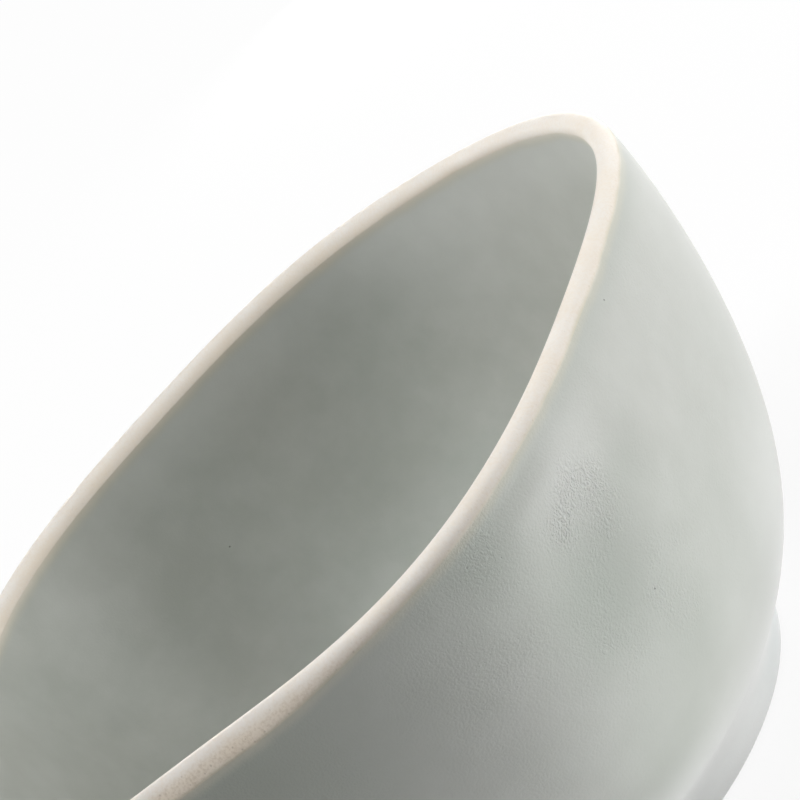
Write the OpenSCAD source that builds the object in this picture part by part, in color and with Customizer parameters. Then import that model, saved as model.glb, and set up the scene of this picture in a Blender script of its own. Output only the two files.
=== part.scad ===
// Hand-shaped latte bowl: a stoneware bowl with a bare, softly waved lip,
// a coat of glaze inside and outside, and a turned foot ring.
// Millimetres, +Z up. The origin is the middle of the foot's standing face.

/* [Bowl] */
// Mean outer diameter across the lip
rim_d = 140; // [120:1:170]
// Height from the standing face to the top of the lip
bowl_h = 74.5; // [65:0.5:90]
// Thickness of the rounded lip
lip_t = 3.8; // [3.2:0.1:6]
// Height of the rim's main waves seen from above, 0 for a round rim
wave_h = 2; // [0:0.1:2.5]
// Thickness of the base under the middle of the floor
base_t = 6.5; // [5:0.5:9]

/* [Thumb press in the wall] */
// Depth of the pressed hollow
press_depth = 2; // [0:0.1:3]
// Height of its middle above the standing face
press_z = 53; // [40:1:60]
// Half its width along the rim
press_wide = 11; // [9:1:20]
// Half its height
press_tall = 12; // [9:1:20]

/* [Foot] */
// Outer diameter of the glazed foot
foot_d = 82; // [66:1:92]
// Height of the foot ring under the base
foot_h = 5; // [4.8:0.1:6.5]
// Width of the foot ring's clay
foot_w = 8; // [6:0.5:10]
// Rounding of the foot ring's outer bottom edge
foot_round = 3.5; // [2:0.1:4]
// Height above the foot ring at which the wall's curve starts
hip_rise = 3.3; // [2.4:0.1:5]
// Reach of the soft fillet from the foot out along the wall
foot_blend = 7; // [5:0.5:9]

/* [Glaze] */
// Thickness of the coats of glaze
glaze_t = 0.5; // [0.3:0.05:0.8]
// Length over which a coat runs out to nothing at the lip
feather = 3; // [2:0.5:6]
// Bare clay below the lip's rounding on the outside
lip_bare = 0.2; // [0.2:0.1:2]
// Bare clay above the standing face on the foot's side
foot_bare = 0.5; // [0.4:0.1:1.5]

/* [Hidden] */
// Waves of the rim: number of crests, share of wave_h, direction of a crest from +X
rim_waves = [
    [1, 0.5, 110],
    [2, 1, 0],
    [3, 0.5, 0],
    [4, 1, 20],
    [5, 1, -10],
    [6, 0.25, 15]
];
// Direction of the thumb press from +X
press_angle = -68;

// Curves of the outer wall from the foot to the lip, and of the hollow from its floor: rise and fullness
wall_curve = [1.52, 0.48];
hollow_curve = [1.5, 0.22];

foot_r = foot_d/2;
clay_foot_r = foot_r - glaze_t;
rim_r = rim_d/2;
lip_z = bowl_h - lip_t/2;
// Height at which the round wall would meet the foot without the fillet
hip_z = foot_h + hip_rise;
floor_z = foot_h + base_t;

// Grid of the shaped surfaces
sides = 60;
wall_rows = 12;
hollow_rows = 13;
lip_rows = 6;
fillet_rows = 5;
full_turn = 360;
half_turn = full_turn/2;
step_a = full_turn/sides;
angles = [for (i = [0:sides - 1]) i*step_a];
$fn = 96;

clay_colour = "#E6DCCD";
glaze_colour = "#BEC0B9";

function total(v, i = 0) = i < len(v) ? v[i] + total(v, i + 1) : 0;

// Rim radius at angle a
function lobed_r(a) = rim_r + wave_h*total([for (w = rim_waves) w[1]*cos(w[0]*(a - w[2]))]);

// How far the thumb press moves the wall inward at angle a and height z
function turn_from(a, b) = let (d = a - b) d - full_turn*round(d/full_turn);
function press(a, z) = let (
        along = turn_from(a, press_angle)*PI/half_turn*rim_r/press_wide,
        up = (z - press_z)/press_tall
    ) press_depth*exp(-along*along - up*up);

// Share of the way out at share t of the way up, and the other way round
function share(t, curve) = pow(1 - pow(1 - t, curve[0]), curve[1]);
function share_at(s, curve) = 1 - pow(1 - pow(s, 1/curve[1]), 1/curve[0]);

// Points [radius, height] of the glazed outside and inside, t and v from 0 below to 1 at the lip
function outer_z(t) = hip_z + (lip_z - hip_z)*t;
function outer_pt(a, t) = [
    foot_r + (lobed_r(a) - foot_r)*share(t, wall_curve) - press(a, outer_z(t)),
    outer_z(t)
];
function inner_z(v) = floor_z + (lip_z - floor_z)*v;
function inner_pt(a, v) = [
    (lobed_r(a) - lip_t)*share(v, hollow_curve) - press(a, inner_z(v)),
    inner_z(v)
];

// Unit direction square to the line from p to q, to the right of it
function square_to(p, q) = let (d = q - p) [d[1], -d[0]]/norm(d);
nudge = 0.0005;
function outer_normal(a, t) = square_to(outer_pt(a, t - nudge), outer_pt(a, min(1, t + nudge)));
function inner_normal(a, v) = square_to(inner_pt(a, v*0.99), inner_pt(a, min(1, v*1.01)));

// Rows of the two surfaces: the last one is where the coat runs out at the lip
t_fillet = share_at(foot_blend/(rim_r - foot_r), wall_curve);
t_bare = 1 - lip_bare/(lip_z - hip_z);
t_full = t_bare - feather/(lip_z - hip_z);
wall_ts = [for (i = [0:wall_rows]) t_fillet + (t_full - t_fillet)*pow(i/wall_rows, 1.7)];
v_full = 1 - feather/(lip_z - floor_z);
hollow_vs = [for (i = [1:hollow_rows]) v_full*pow(i/hollow_rows, 3.2)];

// Soft fillet from the wall down to the foot's side, s from 0 on the wall to 1 on the foot
function fillet_pt(a, s) = let (
        top = outer_pt(a, t_fillet),
        n = outer_normal(a, t_fillet),
        corner = [foot_r, top[1] + (top[0] - foot_r)*n[0]/n[1]],
        low = [foot_r, foot_h]
    ) (1 - s)*(1 - s)*top + 2*s*(1 - s)*corner + s*s*low;
function fillet_normal(a, s) = square_to(fillet_pt(a, s + nudge), fillet_pt(a, s - nudge));

// Rounded lip, from the inside over the top to the outside
function lip_pt(a, turn) = [
    lobed_r(a) - press(a, lip_z) - lip_t/2 + lip_t/2*cos(turn),
    lip_z + lip_t/2*sin(turn)
];

// A ring of points, one at each angle, from a list of [radius, height]
function ring(pts) = [for (i = [0:sides - 1]) let (p = pts[i], a = angles[i])
    [p[0]*cos(a), p[0]*sin(a), p[1]]];

// Rings of the glazed surface, and of the clay under the coat
function outer_ring(t) = ring([for (a = angles) outer_pt(a, t)]);
function outer_clay_ring(t) = ring([for (a = angles) outer_pt(a, t) - glaze_t*outer_normal(a, t)]);
function inner_ring(v) = ring([for (a = angles) inner_pt(a, v)]);
function inner_clay_ring(v) = ring([for (a = angles) inner_pt(a, v) + glaze_t*inner_normal(a, v)]);
function fillet_ring(s) = ring([for (a = angles) fillet_pt(a, s)]);
function fillet_clay_ring(s) = ring([for (a = angles) fillet_pt(a, s) - glaze_t*fillet_normal(a, s)]);
function lip_ring(turn) = ring([for (a = angles) lip_pt(a, turn)]);

// Lists of rings that two neighbouring pieces share
inner_clay_up = [for (v = hollow_vs) inner_clay_ring(v)];
outer_clay_down = concat(
    [for (i = [wall_rows:-1:0]) outer_clay_ring(wall_ts[i])],
    [for (i = [1:fillet_rows]) fillet_clay_ring(i/fillet_rows)]
);
outer_edge = outer_ring(t_bare);
inner_edge = inner_ring(1);

// Triangles between ring j and ring k; both pieces that share two rings cut them the same way
function band(j, k, flip) = [for (i = [0:sides - 1]) let (
        n = (i + 1)%sides,
        a = j*sides + i,
        b = j*sides + n,
        c = k*sides + n,
        d = k*sides + i
    ) each (flip ? [[a, c, b], [a, d, c]] : [[a, b, c], [a, c, d]])];

// Triangles from the last or first ring to a point on the axis
function fan(j, tip, flip) = [for (i = [0:sides - 1]) let (a = j*sides + i, b = j*sides + (i + 1)%sides)
    flip ? [a, b, tip] : [b, a, tip]];

// Solid bounded by rings that run from one point on the axis to another
module turned_skin(rings, first_z, last_z, flip) {
    count = len(rings);
    first = count*sides;
    polyhedron(
        points = concat([for (r = rings) each r], [[0, 0, first_z], [0, 0, last_z]]),
        faces = concat(
            fan(0, first, flip),
            [for (j = [0:count - 2]) each band(j, j + 1, flip)],
            fan(count - 1, first + 1, !flip)
        ),
        convexity = 6
    );
}

// Solid bounded by rings that close on themselves
module looped_skin(rings, flip) {
    count = len(rings);
    polyhedron(
        points = [for (r = rings) each r],
        faces = [for (j = [0:count - 1]) each band(j, (j + 1)%count, flip)],
        convexity = 6
    );
}

// Clay wall, floor and bare lip
module bowl_body() {
    color(clay_colour)
    turned_skin(
        concat(
            inner_clay_up,
            [inner_edge],
            [for (i = [lip_rows - 1:-1:0]) lip_ring(half_turn*i/lip_rows)],
            [outer_edge],
            outer_clay_down
        ),
        floor_z - glaze_t,
        foot_h,
        false
    );
}

// Coat of the hollow, from the middle of the floor to the lip
module inside_glaze() {
    color(glaze_colour)
    turned_skin(
        concat(
            inner_clay_up,
            [inner_edge],
            [for (i = [hollow_rows - 1:-1:0]) inner_ring(hollow_vs[i])]
        ),
        floor_z - glaze_t,
        floor_z,
        true
    );
}

// Coat of the outer wall, from the lip down over the fillet to the foot
module outside_glaze() {
    color(glaze_colour)
    looped_skin(
        concat(
            [for (i = [fillet_rows:-1:1]) fillet_ring(i/fillet_rows)],
            [for (t = wall_ts) outer_ring(t)],
            [outer_edge],
            outer_clay_down
        ),
        true
    );
}

// Section of the foot down to the standing face, swollen by a coat of the given thickness
module foot_section(coat) {
    arc_r = clay_foot_r - foot_round;
    side = foot_round + coat;
    translate([clay_foot_r - foot_w, 0])
    square([foot_w - foot_round, foot_h]);
    translate([arc_r, foot_round])
    square([side, foot_h - foot_round]);
    intersection() {
        translate([arc_r, foot_round])
        circle(r = side);
        translate([arc_r, -coat])
        square([side, side]);
    }
}

// Clay foot ring with its flat standing face
module foot_ring() {
    color(clay_colour)
    rotate_extrude()
    foot_section(0);
}

// Coat on the foot's outer side
module foot_glaze() {
    color(glaze_colour)
    rotate_extrude()
    intersection() {
        difference() {
            foot_section(glaze_t);
            foot_section(0);
        }
        translate([clay_foot_r - foot_round, foot_bare])
        square([foot_round + glaze_t, foot_h - foot_bare]);
    }
}

bowl_body();
foot_ring();
inside_glaze();
outside_glaze();
foot_glaze();
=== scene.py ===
"""Hand-shaped latte bowl: bare clay lip, satin grey-green glaze inside and outside, turned foot."""
import math

import bpy
import numpy as np
from mathutils import Matrix, Vector


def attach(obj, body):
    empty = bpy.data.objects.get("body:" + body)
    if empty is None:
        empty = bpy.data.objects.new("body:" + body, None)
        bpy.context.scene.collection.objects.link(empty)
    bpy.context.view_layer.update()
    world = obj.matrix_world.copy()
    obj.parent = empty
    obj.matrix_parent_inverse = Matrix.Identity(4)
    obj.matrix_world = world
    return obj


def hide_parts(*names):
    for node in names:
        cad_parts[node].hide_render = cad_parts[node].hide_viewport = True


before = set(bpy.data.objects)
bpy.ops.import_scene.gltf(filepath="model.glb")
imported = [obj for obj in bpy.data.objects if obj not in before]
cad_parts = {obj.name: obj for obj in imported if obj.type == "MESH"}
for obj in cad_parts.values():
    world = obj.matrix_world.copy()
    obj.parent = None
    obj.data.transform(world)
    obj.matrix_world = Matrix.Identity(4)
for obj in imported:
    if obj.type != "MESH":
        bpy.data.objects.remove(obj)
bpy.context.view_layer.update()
scene = bpy.context.scene

# Sizes in millimetres, as in the part's source
RIM_R, BOWL_H, LIP_T = 70.0, 74.5, 3.8
BASE_T, FOOT_R, FOOT_H, FOOT_W, FOOT_ROUND = 6.5, 41.0, 5.0, 8.0, 3.5
HIP_RISE, FOOT_BLEND = 3.3, 7.0
GLAZE_T, FEATHER, LIP_BARE, FOOT_BARE = 0.5, 3.0, 0.2, 0.5
WAVE_H = 2.0
RIM_WAVES = [(1, 0.5, 110), (2, 1, 0), (3, 0.5, 0), (4, 1, 20), (5, 1, -10), (6, 0.25, 15)]
WALL_CURVE, HOLLOW_CURVE = (1.52, 0.48), (1.5, 0.22)
PRESS_AT, PRESS_Z, PRESS_DEPTH, PRESS_WIDE, PRESS_TALL = -68.0, 53.0, 2.0, 11.0, 12.0

# Smaller forms of the visible skin
# Soft marks left by shaping on the outside: angle, height, depth, half width, half height, lean
MARKS = [
    (-54.0, 57.5, 0.35, 4.5, 8.0, -0.3),
    (-64.0, 70.0, 0.5, 18.0, 1.9, 0.0),
    (-62.0, 66.8, -0.15, 12.0, 1.8, 0.0),
]
# Bevels of the lip, outside on the left and inside behind: how far down, how flat, where they come in
BEVEL_FLAT = 0.5
LEFT_DROP, LEFT_X, LEFT_Y = 1.25, (-24.0, 0.0), (-20.0, 0.0)
BACK_DROP, BACK_X, BACK_Y = 0.6, (30.0, 70.0), (10.0, 40.0)
# How much lower the colour's edge is behind than the bevel's
BACK_FADE_DROP = 0.25
# Glaze gathered in the corner over the foot, and the height on the foot's side where that ends
SWELL, SWELL_Z = 0.8, 1.5

LIP_R = LIP_T/2
LIP_Z = BOWL_H - LIP_R
HIP_Z = FOOT_H + HIP_RISE
FLOOR_Z = FOOT_H + BASE_T
WALL_H = LIP_Z - HIP_Z
CLAY_FOOT_R = FOOT_R - GLAZE_T
MM_PER_M = 1000.0
# Steps along the curves by which their directions are found
NUDGE, INNER_NUDGE = 0.0005, 0.01

# Grid of the shaped surfaces, and how its rows crowd together at the bottom
SIDES = 288
WALL_ROWS, EDGE_ROWS, HOLLOW_ROWS = 80, 8, 64
FILLET_ROWS, LIP_ROWS, FOOT_ROWS, FOOT_SIDE_ROWS = 16, 28, 12, 4
WALL_CROWD, HOLLOW_CROWD = 1.35, 2.6
ANGLES = np.radians(np.arange(SIDES)*360.0/SIDES)
# Edges sharper than this many degrees aren't shaded smooth
SHARP_EDGE = 40.0


def ease(x):
    x = np.clip(x, 0.0, 1.0)
    return x*x*(3 - 2*x)


def lobed_r(a):
    """Rim radius with its waves."""
    return RIM_R + WAVE_H*sum(h*np.cos(k*(a - math.radians(at))) for k, h, at in RIM_WAVES)


def hollow_at(z, at, z0, wide, tall, lean=0.0):
    """A soft round hollow in the wall, 1 in its middle; lean tilts it along the rim as it rises."""
    turn = (ANGLES - math.radians(at) + math.pi) % (2*math.pi) - math.pi
    along = turn*RIM_R - lean*(z - z0)
    return np.exp(-(along/wide)**2 - ((z - z0)/tall)**2)


def press(z):
    return PRESS_DEPTH*hollow_at(z, PRESS_AT, PRESS_Z, PRESS_WIDE, PRESS_TALL)


def share(t, curve):
    """Share of the way out at share t of the way up."""
    return (1 - (1 - t)**curve[0])**curve[1]


def share_at(s, curve):
    """Share of the way up at share s of the way out."""
    return 1 - (1 - s**(1/curve[1]))**(1/curve[0])


def points(r, z):
    """Radius and height at every angle."""
    return np.stack([np.broadcast_to(r, SIDES), np.broadcast_to(z, SIDES)], -1).astype(float)


def outer_pt(t):
    """Glazed outside, t from 0 at the hip to 1 at the lip."""
    z = HIP_Z + WALL_H*t
    r = FOOT_R + (lobed_r(ANGLES) - FOOT_R)*share(t, WALL_CURVE) - press(z)
    for at, z0, depth, wide, tall, lean in MARKS:
        r = r - depth*hollow_at(z, at, z0, wide, tall, lean)
    return points(r, z)


def inner_pt(v):
    """Glazed hollow, v from 0 at the floor to 1 at the lip."""
    z = FLOOR_Z + (LIP_Z - FLOOR_Z)*v
    return points((lobed_r(ANGLES) - LIP_T)*share(v, HOLLOW_CURVE) - press(z), z)


def rise(x, start, end):
    """From 0 where x is start to 1 where it is end."""
    return ease((x - start)/(end - start))


RIM_X = lobed_r(ANGLES)*np.cos(ANGLES)
RIM_Y = lobed_r(ANGLES)*np.sin(ANGLES)
LEFT_BEVEL = (1 - rise(RIM_X, *LEFT_X))*(1 - rise(RIM_Y, *LEFT_Y))
BACK_BEVEL = (1 - rise(RIM_X, *BACK_X))*rise(RIM_Y, *BACK_Y)


def lip_pt(turn):
    """Lip, turn from 0 outside over the top to pi inside; a side is flatter where it is bevelled."""
    mid = lobed_r(ANGLES) - press(LIP_Z) - LIP_R
    outside = turn < math.pi/2
    bevel = LEFT_BEVEL if outside else BACK_BEVEL
    drop = (LEFT_DROP if outside else BACK_DROP)*bevel
    reach = outer_pt(1.0)[:, 0] - mid if outside else -LIP_R
    flat = 1 + BEVEL_FLAT*bevel
    return points(mid + reach*abs(math.cos(turn))**flat, LIP_Z - drop + (LIP_R + drop)*math.sin(turn)**flat)


def right_of(p, q):
    """Unit directions square to the lines from p to q, to the right of them."""
    d = q - p
    n = np.stack([d[:, 1], -d[:, 0]], -1)
    return n/np.linalg.norm(n, axis=1)[:, None]


def outer_normal(t):
    return right_of(outer_pt(t - NUDGE), outer_pt(np.minimum(1.0, t + NUDGE)))


def inner_normal(v):
    return right_of(inner_pt(v*(1 - INNER_NUDGE)), inner_pt(np.minimum(1.0, v*(1 + INNER_NUDGE))))


# Where the fillet meets the wall, and where the coats run out at the lip and start to thin
T_FILLET = share_at(FOOT_BLEND/(RIM_R - FOOT_R), WALL_CURVE)
T_BARE = 1 - (LIP_BARE + LEFT_DROP*LEFT_BEVEL)/WALL_H
T_FULL = T_BARE - FEATHER/WALL_H
V_BARE = 1 - BACK_DROP*BACK_BEVEL/(LIP_Z - FLOOR_Z)
V_FULL = V_BARE - FEATHER/(LIP_Z - FLOOR_Z)


def swell(z):
    """How far the gathered glaze stands out from the foot's side."""
    return SWELL*np.clip((z - SWELL_Z)/(FOOT_H - SWELL_Z), 0.0, None)**2


def fillet_pt(s):
    """Soft fillet, s from 0 on the wall to 1 on the foot's side."""
    top = outer_pt(T_FILLET)
    n = outer_normal(T_FILLET)
    wall_lean = -n[:, 1]/n[:, 0]
    foot_lean = 2*SWELL/(FOOT_H - SWELL_Z)
    low_r = FOOT_R + SWELL
    corner_z = (low_r - foot_lean*FOOT_H - top[:, 0] + wall_lean*top[:, 1])/(wall_lean - foot_lean)
    corner = points(low_r + foot_lean*(corner_z - FOOT_H), corner_z)
    return (1 - s)**2*top + 2*s*(1 - s)*corner + s*s*points(low_r, FOOT_H)


def fillet_normal(s):
    return right_of(fillet_pt(s + NUDGE), fillet_pt(s - NUDGE))


def outer_clay_pt(t):
    """Clay under the outside coat."""
    coat = GLAZE_T*ease((T_BARE - t)/(T_BARE - T_FULL))
    return outer_pt(t) - coat[:, None]*outer_normal(t)


def inner_clay_pt(v):
    """Clay under the coat of the hollow."""
    coat = GLAZE_T*ease((V_BARE - v)/(V_BARE - V_FULL))
    return inner_pt(v) + coat[:, None]*inner_normal(v)


def ring(p):
    """Points of one ring in metres."""
    return np.stack([p[:, 0]*np.cos(ANGLES), p[:, 0]*np.sin(ANGLES), p[:, 1]], -1)/MM_PER_M


# Rows of the shaped surfaces, and of the last few millimetres where a coat runs out
WALL_TS = [T_FILLET + (T_FULL - T_FILLET)*(i/WALL_ROWS)**WALL_CROWD for i in range(WALL_ROWS + 1)]
EDGE_TS = [T_FULL + (T_BARE - T_FULL)*i/EDGE_ROWS for i in range(1, EDGE_ROWS)]
HOLLOW_VS = [V_FULL*(i/HOLLOW_ROWS)**HOLLOW_CROWD for i in range(1, HOLLOW_ROWS + 1)]
EDGE_VS = [V_FULL + (V_BARE - V_FULL)*i/EDGE_ROWS for i in range(1, EDGE_ROWS)]
FILLET_SS = [i/FILLET_ROWS for i in range(1, FILLET_ROWS + 1)]

outer_skin = [ring(outer_pt(t)) for t in WALL_TS + EDGE_TS]
outer_clay = [ring(outer_clay_pt(t)) for t in WALL_TS + EDGE_TS]
inner_skin = [ring(inner_pt(v)) for v in HOLLOW_VS + EDGE_VS]
inner_clay = [ring(inner_clay_pt(v)) for v in HOLLOW_VS + EDGE_VS]
fillet = [ring(fillet_pt(s)) for s in FILLET_SS]
fillet_clay = [ring(fillet_pt(s) - GLAZE_T*fillet_normal(s)) for s in FILLET_SS]
outer_edge = ring(outer_pt(T_BARE))
inner_edge = ring(inner_pt(V_BARE))
lip = [ring(lip_pt(math.pi*i/LIP_ROWS)) for i in range(LIP_ROWS - 1, -1, -1)]


# Meshes

def face_outward(obj):
    bpy.context.view_layer.objects.active = obj
    obj.select_set(True)
    bpy.ops.object.mode_set(mode="EDIT")
    bpy.ops.mesh.select_all(action="SELECT")
    bpy.ops.mesh.normals_make_consistent(inside=False)
    bpy.ops.object.mode_set(mode="OBJECT")
    obj.select_set(False)


def make(name, rings, tips=None):
    """A closed mesh from rings: between two heights on the axis, or closed on itself."""
    n = len(rings)
    step = np.arange(SIDES)
    nxt = (step + 1) % SIDES
    verts = np.concatenate(rings).tolist()
    faces = []
    for j in range(n - 1 if tips else n):
        low = j*SIDES
        high = ((j + 1) % n)*SIDES
        faces += np.stack([low + step, low + nxt, high + nxt, high + step], -1).tolist()
    if tips:
        last = (n - 1)*SIDES
        verts += [(0, 0, z/MM_PER_M) for z in tips]
        faces += [(int(b), int(a), n*SIDES) for a, b in zip(step, nxt)]
        faces += [(last + int(a), last + int(b), n*SIDES + 1) for a, b in zip(step, nxt)]
    mesh = bpy.data.meshes.new(name)
    mesh.from_pydata(verts, [], faces)
    mesh.validate()
    obj = bpy.data.objects.new(name, mesh)
    scene.collection.objects.link(obj)
    face_outward(obj)
    mesh.shade_smooth()
    mesh.set_sharp_from_angle(angle=math.radians(SHARP_EDGE))
    return obj


def foot_arc(radius, high, low):
    """Points of the rounding at the foot's bottom edge, between two heights."""
    turns = [math.asin((z - FOOT_ROUND)/radius) for z in (high, low)]
    steps = np.linspace(turns[0], turns[1], FOOT_ROWS + 1)
    return [(CLAY_FOOT_R - FOOT_ROUND + radius*math.cos(a), FOOT_ROUND + radius*math.sin(a)) for a in steps]


def make_body():
    rings = inner_clay + [inner_edge] + lip + [outer_edge] + outer_clay[::-1] + fillet_clay
    return make("clay_body", rings, (FLOOR_Z - GLAZE_T, FOOT_H))


def make_inside_coat():
    rings = inner_clay + [inner_edge] + inner_skin[::-1]
    return make("inside_coat", rings, (FLOOR_Z - GLAZE_T, FLOOR_Z))


def make_outside_coat():
    rings = fillet[::-1] + outer_skin + [outer_edge] + outer_clay[::-1] + fillet_clay
    return make("outside_coat", rings)


def make_foot():
    inner_r = CLAY_FOOT_R - FOOT_W
    line = [(inner_r, FOOT_H), (inner_r, 0.0)] + foot_arc(FOOT_ROUND, 0.0, FOOT_ROUND)
    line += [(CLAY_FOOT_R, FOOT_H)]
    return make("foot_clay", [ring(points(r, z)) for r, z in line])


def make_foot_coat():
    clay_line = [(CLAY_FOOT_R, FOOT_H)] + foot_arc(FOOT_ROUND, FOOT_ROUND, FOOT_BARE)
    skin_line = foot_arc(FOOT_ROUND + GLAZE_T, FOOT_BARE, FOOT_ROUND)
    side_h = FOOT_H - FOOT_ROUND
    skin_line += [(FOOT_R, FOOT_ROUND + side_h*i/FOOT_SIDE_ROWS) for i in range(1, FOOT_SIDE_ROWS + 1)]
    skin_line = [(r + swell(z), z) for r, z in skin_line]
    return make("foot_coat", [ring(points(r, z)) for r, z in clay_line + skin_line])


# Materials

class Nodes:
    """A small helper that adds and links shader nodes."""

    def __init__(self, name):
        self.mat = bpy.data.materials.new(name)
        self.mat.use_nodes = True
        self.tree = self.mat.node_tree
        self.shader = self.tree.nodes["Principled BSDF"]
        self.place = self.add("ShaderNodeTexCoord").outputs["Object"]

    def add(self, kind, **values):
        node = self.tree.nodes.new(kind)
        for key, value in values.items():
            setattr(node, key, value)
        return node

    def put(self, socket, value):
        if isinstance(value, bpy.types.NodeSocket):
            self.tree.links.new(value, socket)
        else:
            socket.default_value = value

    def noise(self, scale, detail=3.0, rough=0.5):
        node = self.add("ShaderNodeTexNoise")
        self.put(node.inputs["Vector"], self.place)
        node.inputs["Scale"].default_value = scale
        node.inputs["Detail"].default_value = detail
        node.inputs["Roughness"].default_value = rough
        return node.outputs["Fac"]

    def ramp(self, value, start, end, first, last, smooth=True):
        """From first where the value is start to last where it is end."""
        node = self.add("ShaderNodeMapRange", interpolation_type="SMOOTHSTEP" if smooth else "LINEAR")
        self.put(node.inputs["Value"], value)
        node.inputs["From Min"].default_value = start
        node.inputs["From Max"].default_value = end
        node.inputs["To Min"].default_value = first
        node.inputs["To Max"].default_value = last
        return node.outputs["Result"]

    def math(self, op, a, b=0.0):
        node = self.add("ShaderNodeMath", operation=op)
        self.put(node.inputs[0], a)
        self.put(node.inputs[1], b)
        return node.outputs[0]

    def times(self, a, b):
        return self.math("MULTIPLY", a, b)

    def mix(self, fac, a, b):
        node = self.add("ShaderNodeMix", data_type="RGBA")
        self.put(node.inputs["Factor"], fac)
        self.put(node.inputs["A"], a)
        self.put(node.inputs["B"], b)
        return node.outputs["Result"]

    def dots(self, scale, size, keep):
        """Small round spots: 1 inside a spot; keep is the share of cells that have one."""
        cells = self.add("ShaderNodeTexVoronoi", feature="F1")
        self.put(cells.inputs["Vector"], self.place)
        cells.inputs["Scale"].default_value = scale
        near = self.ramp(cells.outputs["Distance"], size*0.45, size, 1.0, 0.0)
        pick = self.add("ShaderNodeSeparateColor")
        self.put(pick.inputs[0], cells.outputs["Color"])
        return self.times(near, self.math("LESS_THAN", pick.outputs[0], keep))

    def bump(self, height, strength, distance):
        node = self.add("ShaderNodeBump")
        node.inputs["Strength"].default_value = strength
        node.inputs["Distance"].default_value = distance
        self.put(node.inputs["Height"], height)
        return node.outputs["Normal"]

    def along(self, axis):
        """Place along an axis in millimetres."""
        node = self.add("ShaderNodeSeparateXYZ")
        self.put(node.inputs[0], self.place)
        return self.times(node.outputs[axis], MM_PER_M)

    def near(self, point, full, none, share=1.0):
        """The share within full millimetres of a point, falling to 0 at none millimetres."""
        node = self.add("ShaderNodeVectorMath", operation="DISTANCE")
        self.put(node.inputs[0], self.place)
        node.inputs[1].default_value = tuple(c/MM_PER_M for c in point)
        return self.ramp(node.outputs["Value"], full/MM_PER_M, none/MM_PER_M, share, 0.0)

    def most(self, values):
        """The largest of several values."""
        top = values[0]
        for value in values[1:]:
            top = self.math("MAXIMUM", top, value)
        return top


def srgb(*levels):
    """A colour from levels of 255, as a picture has them."""
    shares = [c/255 for c in levels]
    return tuple(c/12.92 if c <= 0.04045 else ((c + 0.055)/1.055)**2.4 for c in shares) + (1.0,)


CLAY = srgb(231, 226, 219)
CLAY_DEEP = srgb(225, 207, 180)
CLAY_SPOT = srgb(132, 112, 88)
GLAZE = srgb(187, 189, 183)
GLAZE_COOL = srgb(182, 186, 179)
# Glaze of the hollow: the same glaze as outside, painted darker as the hollow's shade
INNER_PAINTED_SHADE = srgb(176, 178, 171)
INNER_COOL_PAINTED_SHADE = srgb(171, 175, 168)
GLAZE_THIN = srgb(203, 198, 180)
# Pooled glaze, also used as painted shade
GLAZE_POOL_AND_SHADE = srgb(158, 165, 156)
# A pale tone of the glaze, also used as painted light
GLAZE_PALE_AND_PAINTED_LIGHT = srgb(238, 239, 237)
# The foot's glaze, painted paler than the wall as light from below
GLAZE_FOOT_PAINTED_LIGHT = srgb(216, 220, 219)
# Painted shade
GLAZE_PAINTED_SHADE = srgb(147, 152, 142)
PINHOLE = srgb(86, 86, 78)
TABLE = (0.8, 0.8, 0.8, 1.0)
WHITE = (1.0, 1.0, 1.0, 1.0)

# Noises that more than one look uses: scale, detail and roughness
GRAIN = (2400.0, 2.0)
MOTTLE = (160.0, 4.0, 0.55)
# Roughness from the smoothest places to the roughest, and depth of the skin in metres
CLAY_ROUGH, CLAY_DEPTH = (0.62, 0.8), 0.00012
GLAZE_ROUGH, GLAZE_DEPTH = (0.42, 0.54), 0.0003
# The glaze's edge at the lip: height over which it fades, how much it wanders, where it is thin
OUTSIDE_FADE, INSIDE_FADE = 1.1, 2.6
EDGE_WANDER = 0.25
THIN_REACH, THIN_SHARE = 2.2, 0.6
# Share of orange peel, and weight of the clear layer on top
OUTSIDE_PEEL, OUTSIDE_CLEAR = 1.0, 0.6
INSIDE_PEEL, INSIDE_CLEAR = 0.3, 0.0
# Middle and outer edge of a single pinhole
HOLE_R, HOLE_EDGE_R = 0.07, 0.22


def above_edge(m, fade=OUTSIDE_FADE):
    """Height above the edge of the glaze, lower on the left and behind, and 1 above it, 0 below it."""
    left = m.times(m.ramp(m.along("X"), *LEFT_X, LEFT_DROP, 0.0), m.ramp(m.along("Y"), *LEFT_Y, 1.0, 0.0))
    back = m.ramp(m.along("Y"), *BACK_Y, 0.0, BACK_DROP + BACK_FADE_DROP)
    back = m.times(back, m.ramp(m.along("X"), *BACK_X, 1.0, 0.0))
    height = m.math("ADD", m.math("SUBTRACT", m.along("Z"), LIP_Z), left)
    height = m.math("ADD", height, back)
    height = m.math("ADD", height, m.ramp(m.noise(140.0), 0.3, 0.7, -EDGE_WANDER, EDGE_WANDER, False))
    return height, m.ramp(height, -fade/2, fade/2, 0.0, 1.0)


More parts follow.
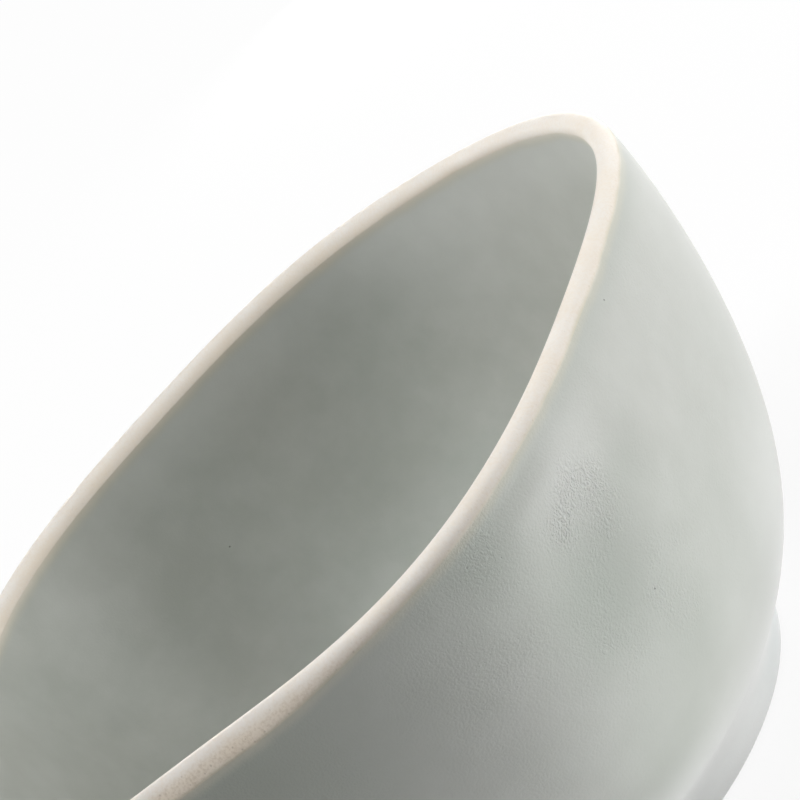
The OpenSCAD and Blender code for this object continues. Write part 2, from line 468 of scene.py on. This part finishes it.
def clay_colour(m):
    """Colour of bare clay: pale on top of the lip, deeper and grainy at its side on the left, where the
    deeper tone is partly painted shade, and its spots.
    """
    deep_patch, deep_side, deep_behind, deep_grain = 0.2, 0.45, 0.3, 0.25
    dark_grain = 0.26
    patch = m.ramp(m.noise(180.0, 4.0), 0.35, 0.7, 0.0, deep_patch)
    # The lip's lower outer side on the left takes a deeper tone: partly grainier clay, partly painted shade
    low = m.ramp(m.along("Z"), LIP_Z + 0.1, BOWL_H - 0.4, 1.0, 0.0)
    side = m.times(low, m.ramp(m.along("X"), -30.0, 10.0, 1.0, 0.2))
    side = m.times(side, m.ramp(m.along("Y"), *LEFT_Y, 1.0, 0.0))
    behind = m.times(low, m.ramp(m.along("Y"), *BACK_Y, 0.0, deep_behind))
    grain = m.ramp(m.noise(*GRAIN), 0.42, 0.78, 0.0, 1.0, False)
    colour = m.mix(patch, CLAY, CLAY_DEEP)
    colour = m.mix(m.math("ADD", m.times(side, deep_side), behind), colour, CLAY_DEEP)
    colour = m.mix(m.times(grain, deep_grain), colour, CLAY_DEEP)
    colour = m.mix(m.times(m.times(grain, side), dark_grain), colour, CLAY_SPOT)
    spots = m.dots(scale=1500.0, size=0.3, keep=0.2)
    spots = m.times(spots, m.ramp(side, 0.0, 1.0, 0.06, 0.35, False))
    return m.mix(spots, colour, CLAY_SPOT), spots


def clay_material():
    """Bare stoneware."""
    m = Nodes("bare_clay")
    colour, spots = clay_colour(m)
    bare = above_edge(m)[1]
    m.put(m.shader.inputs["Base Color"], m.mix(bare, GLAZE_THIN, colour))
    m.put(m.shader.inputs["Roughness"], m.ramp(m.noise(*GRAIN), 0.3, 0.7, *CLAY_ROUGH, False))
    m.shader.inputs["Specular IOR Level"].default_value = 0.4
    grit = m.math("SUBTRACT", m.noise(1500.0, 4.0, 0.6), spots)
    m.put(m.shader.inputs["Normal"], m.bump(grit, 0.35, CLAY_DEPTH))
    return m.mat


def glaze_colour(m, colours, painted_under_lip, lip_fade, pools_and_painted_light_shade):
    """Glaze that thins to the clay at the lip.

    Under the lip it takes a colour, painted shade outside and painted light inside, with the reach, the
    share
    and the X range over which that share comes in. Listed places take other colours, with their reach and
    share:
    pooled glaze that doubles as painted shade, painted light and painted shade.
    """
    drift = m.ramp(m.noise(22.0), 0.3, 0.72, 0.0, 1.0)
    colour = m.mix(drift, *colours)
    colour = m.mix(m.ramp(m.noise(*MOTTLE), 0.35, 0.75, 0.0, 0.1, False), colour, GLAZE_PALE_AND_PAINTED_LIGHT)
    # Pooled glaze, painted light and painted shade at places
    for tint, point, reach, share_there in pools_and_painted_light_shade:
        colour = m.mix(m.near(point, 0.0, reach, share_there), colour, tint)
    # Painted shade under the lip outside, painted light under it inside
    tint, reach, share_there, start, end = painted_under_lip
    under = m.ramp(m.along("Z"), LIP_Z - reach, LIP_Z, 0.0, share_there)
    under = m.times(under, m.ramp(m.along("X"), start, end, 0.1, 1.0))
    colour = m.mix(under, colour, tint)
    height, bare = above_edge(m, lip_fade)
    colour = m.mix(m.ramp(height, -THIN_REACH, 0.0, 0.0, THIN_SHARE), colour, GLAZE_THIN)
    return m.mix(bare, colour, clay_colour(m)[0])


def painted_light_low(m, colour):
    """Glaze painted paler as light low down: palest in front in the corner over the foot, and greyer on
    most of the foot.
    """
    lit_z, most_lit_at, least_lit = (6.0, 22.0), (30.0, -36.0, 10.0), 0.35
    grey_z, least_grey_at, most_cleared = (4.0, 7.5), (14.0, -40.0, 4.0), 0.85
    lit = m.math("ADD", m.near(most_lit_at, 25.0, 60.0, 1 - least_lit), least_lit)
    grey = m.math("SUBTRACT", 1.0, m.near(least_grey_at, 8.0, 30.0, most_cleared))
    colour = m.mix(m.times(m.ramp(m.along("Z"), *lit_z, 1.0, 0.0), lit), colour, GLAZE_PALE_AND_PAINTED_LIGHT)
    return m.mix(m.times(m.ramp(m.along("Z"), *grey_z, 1.0, 0.0), grey), colour, GLAZE_FOOT_PAINTED_LIGHT)


def glaze_skin(m, peel_share, wrinkles):
    """Height of the skin: faint orange peel, less of it low down, and folds in the wrinkled places."""
    peel = m.times(m.noise(2600.0, 2.0), m.ramp(m.noise(60.0, 2.0), 0.35, 0.7, 0.18, 0.38))
    peel = m.times(peel, m.ramp(m.along("Z"), 15.0, 45.0, 0.3*peel_share, peel_share))
    if not wrinkles:
        return peel
    patchy = m.ramp(m.noise(170.0, 2.0), 0.35, 0.65, 0.3, 1.0)
    places = [m.near(point, 0.2*reach, reach, share_there) for point, reach, share_there in wrinkles]
    folds = m.math("ABSOLUTE", m.math("SUBTRACT", m.noise(1500.0, 2.0), 0.5))
    return m.math("ADD", peel, m.times(folds, m.times(m.most(places), patchy)))


def finish_glaze(m, colour, pinholes, peel_share, clear, wrinkles=()):
    """Satin surface with pinholes at points, and folds in places that have a reach and a share."""
    holes = [m.near(point, HOLE_R, HOLE_EDGE_R) for point in pinholes]
    holes = m.most(holes + [m.dots(scale=60.0, size=0.016, keep=0.02)])
    m.put(m.shader.inputs["Base Color"], m.mix(m.times(holes, 0.7), colour, PINHOLE))
    m.put(m.shader.inputs["Roughness"], m.ramp(m.noise(*MOTTLE), 0.3, 0.7, *GLAZE_ROUGH, False))
    m.shader.inputs["IOR"].default_value = 1.5
    m.shader.inputs["Coat Weight"].default_value = clear
    m.shader.inputs["Coat Roughness"].default_value = 0.3
    height = m.math("SUBTRACT", glaze_skin(m, peel_share, wrinkles), m.times(holes, 0.5))
    m.put(m.shader.inputs["Normal"], m.bump(height, 0.9, GLAZE_DEPTH))
    return m.mat


def outside_glaze():
    """Glaze of the outer wall and the foot. Places and reaches are in millimetres."""
    m = Nodes("outside_glaze")
    pinholes = [
        (52.2, -41.5, 69.6),
        (31.8, -59.9, 70.5),
        (27.5, -56.5, 41.3),
        (12.7, -68.3, 69.0),
        (16.7, -67.0, 65.8),
    ]
    # Pooled glaze in the press, with more dark places that are painted shade; painted light low on the
    # right and on the ridges by the lip; painted shade over the front left
    pools_and_painted_light_shade = [
        (GLAZE_POOL_AND_SHADE, (22.5, -61.3, 48.5), 19.0, 0.75),
        (GLAZE_POOL_AND_SHADE, (38.0, -52.5, 56.0), 9.0, 0.3),
        (GLAZE_POOL_AND_SHADE, (26.0, -53.0, 30.0), 14.0, 0.4),
        (GLAZE_POOL_AND_SHADE, (15.0, -67.0, 67.0), 11.0, 0.5),
        (GLAZE_POOL_AND_SHADE, (9.0, -53.0, 16.0), 15.0, 0.5),
        (GLAZE_POOL_AND_SHADE, (13.0, -59.0, 29.0), 14.0, 0.3),
        (GLAZE_PALE_AND_PAINTED_LIGHT, (50.0, -26.0, 22.0), 24.0, 0.4),
        (GLAZE_PALE_AND_PAINTED_LIGHT, (33.0, -45.0, 22.0), 14.0, 0.12),
        (GLAZE_PALE_AND_PAINTED_LIGHT, (28.5, -61.0, 61.5), 9.0, 0.16),
        (GLAZE_PALE_AND_PAINTED_LIGHT, (34.5, -58.0, 67.0), 11.0, 0.18),
        (GLAZE_PAINTED_SHADE, (-32.0, -57.0, 66.0), 42.0, 1.0),
    ]
    wrinkles = [
        ((28.5, -59.6, 58.0), 12.0, 3.0),
        ((30.0, -54.0, 39.0), 12.0, 1.7),
        ((20.0, -62.5, 43.0), 14.0, 1.2),
        ((14.0, -66.0, 66.0), 12.0, 1.1),
        ((6.0, -67.5, 60.0), 26.0, 0.6),
    ]
    # Painted shade on the wall just under the lip, more of it towards the right
    painted_under_lip = (GLAZE_POOL_AND_SHADE, 6.5, 0.4, -8.0, 15.0)
    colour = glaze_colour(m, (GLAZE, GLAZE_COOL), painted_under_lip, OUTSIDE_FADE, pools_and_painted_light_shade)
    return finish_glaze(m, painted_light_low(m, colour), pinholes, OUTSIDE_PEEL, OUTSIDE_CLEAR, wrinkles)


def inside_glaze():
    """Glaze of the hollow, its colour darkened below the outside glaze's as painted shade."""
    m = Nodes("inside_glaze")
    pinholes = [(-15.5, 59.9, 48.7)]
    # Painted light high on the wall of the hollow, and painted shade lower on the far wall
    pools_and_painted_light_shade = [
        (GLAZE_PALE_AND_PAINTED_LIGHT, (46.0, 45.2, 63.7), 22.0, 0.2),
        (GLAZE_PALE_AND_PAINTED_LIGHT, (60.0, 32.0, 66.0), 20.0, 0.12),
        (GLAZE_PALE_AND_PAINTED_LIGHT, (-37.0, 57.0, 62.0), 14.0, 0.12),
        (GLAZE_PAINTED_SHADE, (13.0, 55.0, 36.0), 18.0, 0.15),
    ]
    # Painted light on the hollow's wall under the lip, less of it far to the left
    painted_under_lip = (GLAZE_PALE_AND_PAINTED_LIGHT, 14.0, 0.3, -45.0, -10.0)
    colour = glaze_colour(m, (INNER_PAINTED_SHADE, INNER_COOL_PAINTED_SHADE), painted_under_lip, INSIDE_FADE, pools_and_painted_light_shade)
    return finish_glaze(m, colour, pinholes, INSIDE_PEEL, INSIDE_CLEAR)


def dress(obj, mat, node):
    """Gives a piece its material, attaches it to the root body, and hides the CAD piece that it stands for.
    """
    obj.data.materials.clear()
    obj.data.materials.append(mat)
    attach(obj, "root")
    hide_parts(node)


clay = clay_material()
outer_glaze = outside_glaze()
dress(make_body(), clay, "bowl_body")
dress(make_foot(), clay, "foot_ring")
dress(make_inside_coat(), inside_glaze(), "inside_glaze")
dress(make_outside_coat(), outer_glaze, "outside_glaze")
dress(make_foot_coat(), outer_glaze, "foot_glaze")

# Floor and world: white to the camera, with a soft shadow kept on the floor

scene.view_settings.view_transform = "Standard"


def seen(tree):
    """1 for rays that show the background: from the camera, or mirrored or passed on by a surface."""
    path = tree.nodes.new("ShaderNodeLightPath")
    shows = path.outputs["Is Camera Ray"]
    for name in ("Is Glossy Ray", "Is Transmission Ray"):
        most = tree.nodes.new("ShaderNodeMath")
        most.operation = "MAXIMUM"
        tree.links.new(shows, most.inputs[0])
        tree.links.new(path.outputs[name], most.inputs[1])
        shows = most.outputs[0]
    return shows


def floor_material():
    """A grey table with the shadow; the camera sees white over most of it, a little less by the bowl."""
    shown_near, near_r = 0.1, 0.05
    shown_far, far_r = 0.02, 0.25
    m = Nodes("floor")
    m.shader.inputs["Base Color"].default_value = TABLE
    m.shader.inputs["Roughness"].default_value = 0.9
    m.shader.inputs["Specular IOR Level"].default_value = 0.1
    white = m.add("ShaderNodeEmission")
    white.inputs["Color"].default_value = WHITE
    away = m.add("ShaderNodeVectorMath", operation="LENGTH")
    m.put(away.inputs[0], m.place)
    cover = m.ramp(away.outputs["Value"], near_r, far_r, 1 - shown_near, 1 - shown_far)
    blend = m.add("ShaderNodeMixShader")
    m.put(blend.inputs[0], m.times(seen(m.tree), cover))
    m.put(blend.inputs[1], m.shader.outputs[0])
    m.put(blend.inputs[2], white.outputs[0])
    m.put(m.tree.nodes["Material Output"].inputs["Surface"], blend.outputs[0])
    return m.mat


def make_floor():
    half = 3.0
    corners = [(-half, -half, 0.0), (half, -half, 0.0), (half, half, 0.0), (-half, half, 0.0)]
    mesh = bpy.data.meshes.new("floor")
    mesh.from_pydata(corners, [], [(0, 1, 2, 3)])
    mesh.materials.append(floor_material())
    obj = bpy.data.objects.new("floor", mesh)
    scene.collection.objects.link(obj)


def make_world():
    world = bpy.data.worlds.new("studio")
    scene.world = world
    world.use_nodes = True
    tree = world.node_tree
    sky = tree.nodes["Background"]
    sky.inputs["Color"].default_value = WHITE
    tree.links.new(seen(tree), sky.inputs["Strength"])


def lamp(name, place, target, size, watts, spread=180.0):
    """An area lamp that faces a target, in metres, watts and degrees of spread."""
    data = bpy.data.lights.new(name, "AREA")
    data.shape = "RECTANGLE"
    data.size = size[0]
    data.size_y = size[1]
    data.energy = watts
    data.spread = math.radians(spread)
    obj = bpy.data.objects.new(name, data)
    scene.collection.objects.link(obj)
    obj.location = place
    obj.rotation_mode = "QUATERNION"
    obj.rotation_quaternion = (Vector(target) - Vector(place)).to_track_quat("-Z", "Y")
    obj.visible_camera = False


make_floor()
make_world()

# Softboxes above and to the right, narrower lamps from the left, and light thrown back by the table
lamp("top", (0.0, 0.0, 0.80), (0.0, 0.0, 0.04), (0.6, 0.6), 3.1)
lamp("over", (0.62, -0.12, 0.21), (-0.05, 0.0, 0.07), (0.5, 0.3), 2.7)
lamp("key", (0.49, -0.26, 0.085), (0.0, 0.0, 0.04), (0.4, 0.14), 0.024, 40.0)
lamp("right_back", (0.24, 0.40, 0.04), (0.0, 0.0, 0.04), (0.35, 0.06), 1.0)
lamp("top_left", (-0.45, 0.0, 0.65), (0.0, 0.0, 0.06), (0.35, 0.35), 0.2, 30.0)
lamp("left_back", (-0.50, 0.25, 0.25), (0.03, 0.0, 0.07), (0.3, 0.25), 0.063, 30.0)
lamp("bounce", (0.05, -0.085, 0.002), (0.05, -0.085, 1.0), (0.09, 0.05), 0.011)
lamp("bounce_near", (0.012, -0.07, 0.002), (0.012, -0.045, 0.02), (0.04, 0.02), 0.0008)


def make_camera():
    """The photograph looks a little down on the bowl, with the picture turned."""
    elevation = math.radians(20.42)
    turn = math.radians(47.31)
    distance = 0.462
    focal_px = 3051.0
    width_px = 800.0
    aim = Vector((0.02288, 0.0, 0.06628))
    back = Vector((0, -math.cos(elevation), math.sin(elevation)))
    right = Vector((1, 0, 0))
    above = Vector((0, math.sin(elevation), math.cos(elevation)))
    cam_x = right*math.cos(turn) - above*math.sin(turn)
    cam_y = right*math.sin(turn) + above*math.cos(turn)
    cam = bpy.data.objects.new("camera", bpy.data.cameras.new("camera"))
    scene.collection.objects.link(cam)
    cam.data.sensor_width = 36.0
    cam.data.lens = cam.data.sensor_width*focal_px/width_px
    cam.data.clip_start = 0.01
    axes = Matrix((cam_x, cam_y, back)).transposed().to_4x4()
    cam.matrix_world = Matrix.Translation(aim + back*distance) @ axes
    scene.camera = cam


make_camera()
